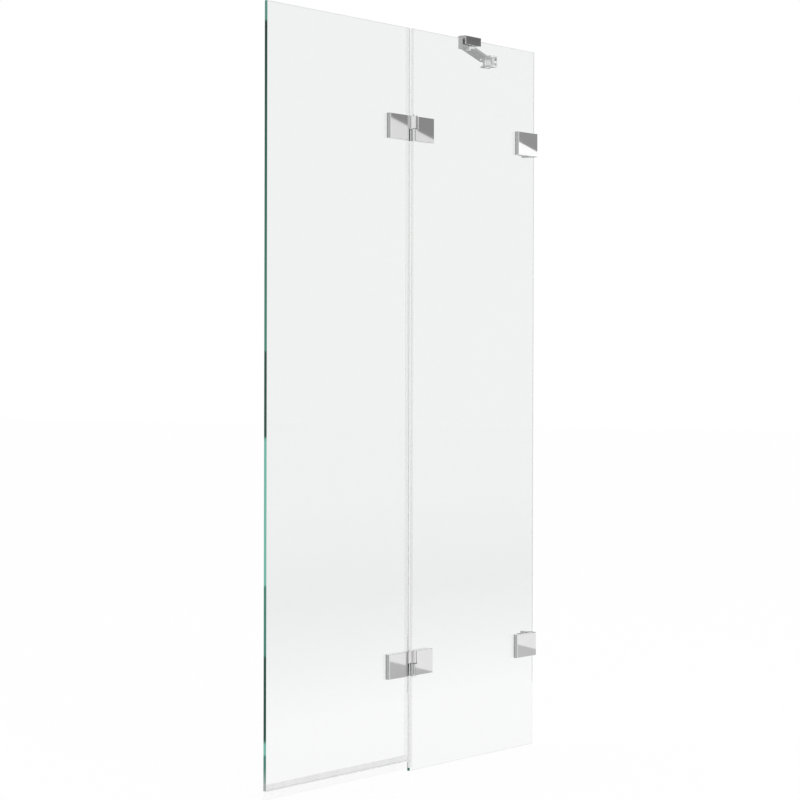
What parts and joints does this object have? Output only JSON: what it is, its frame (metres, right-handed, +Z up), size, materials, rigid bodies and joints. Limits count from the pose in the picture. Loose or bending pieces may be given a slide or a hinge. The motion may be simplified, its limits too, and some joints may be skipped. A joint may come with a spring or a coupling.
{
  "type": "shower screen",
  "caption": "Frameless glass shower screen: a panel held by wall brackets and a top strut carries a swinging panel on glass-to-glass hinges, with clear drip and joint seals.",
  "frame": {"origin": "on the wall, in the middle plane of the glass, at mid-height of the lower wall bracket", "axes": "+X into the wall, so the free edge of the moving panel is at the lowest X; +Z up; -Y is the side that the cover plates are on, +Y the side that the strut is on"},
  "size_m": [1.005, 0.1455, 1.507],
  "materials": {
    "clear_glass": "clear polished",
    "clear_seal": "clear",
    "chrome": "polished",
    "steel": "satin",
    "black_rubber": "matt",
    "black_plastic": "matt",
    "grey_plastic": "matt"
  },
  "bodies": {
    "fixed_screen": {"fixed_glass": "clear_glass", "joint_seal_bottom": "clear_seal", "joint_seal_middle": "clear_seal", "joint_seal_top": "clear_seal", "lower_bracket_angle": "chrome", "lower_bracket_front_gasket": "black_rubber", "lower_bracket_plate": "chrome", "lower_bracket_rear_gasket": "black_rubber", "lower_bracket_screws": "steel", "lower_bracket_sleeves": "grey_plastic", "lower_hinge_fixed_discs": "chrome", "lower_hinge_fixed_gasket": "black_rubber", "lower_hinge_fixed_leaf": "chrome", "lower_hinge_fixed_screws": "steel", "lower_hinge_fixed_sleeves": "grey_plastic", "lower_hinge_pin": "chrome", "lower_hinge_washer": "black_plastic", "strut_arm": "chrome", "strut_clamp": "chrome", "strut_clamp_liner": "black_rubber", "strut_clamp_pivot": "chrome", "strut_clamp_screw": "steel", "strut_foot": "chrome", "strut_foot_pivot": "chrome", "upper_bracket_angle": "chrome", "upper_bracket_front_gasket": "black_rubber", "upper_bracket_plate": "chrome", "upper_bracket_rear_gasket": "black_rubber", "upper_bracket_screws": "steel", "upper_bracket_sleeves": "grey_plastic", "upper_hinge_fixed_discs": "chrome", "upper_hinge_fixed_gasket": "black_rubber", "upper_hinge_fixed_leaf": "chrome", "upper_hinge_fixed_screws": "steel", "upper_hinge_fixed_sleeves": "grey_plastic", "upper_hinge_pin": "chrome", "upper_hinge_washer": "black_plastic"},
    "moving_panel": {"drip_seal": "clear_seal", "lower_hinge_bush": "black_plastic", "lower_hinge_moving_discs": "chrome", "lower_hinge_moving_gasket": "black_rubber", "lower_hinge_moving_leaf": "chrome", "lower_hinge_moving_screws": "steel", "lower_hinge_moving_sleeves": "grey_plastic", "moving_glass": "clear_glass", "upper_hinge_bush": "black_plastic", "upper_hinge_moving_discs": "chrome", "upper_hinge_moving_gasket": "black_rubber", "upper_hinge_moving_leaf": "chrome", "upper_hinge_moving_screws": "steel", "upper_hinge_moving_sleeves": "grey_plastic"}
  },
  "joints": [
    {"name": "panel_swing", "type": "hinge", "parent": "fixed_screen", "child": "moving_panel", "pos_m": [-0.498, -0.009, 0], "axis": [0, 0, 1], "range_deg": [0, 150]}
  ]
}
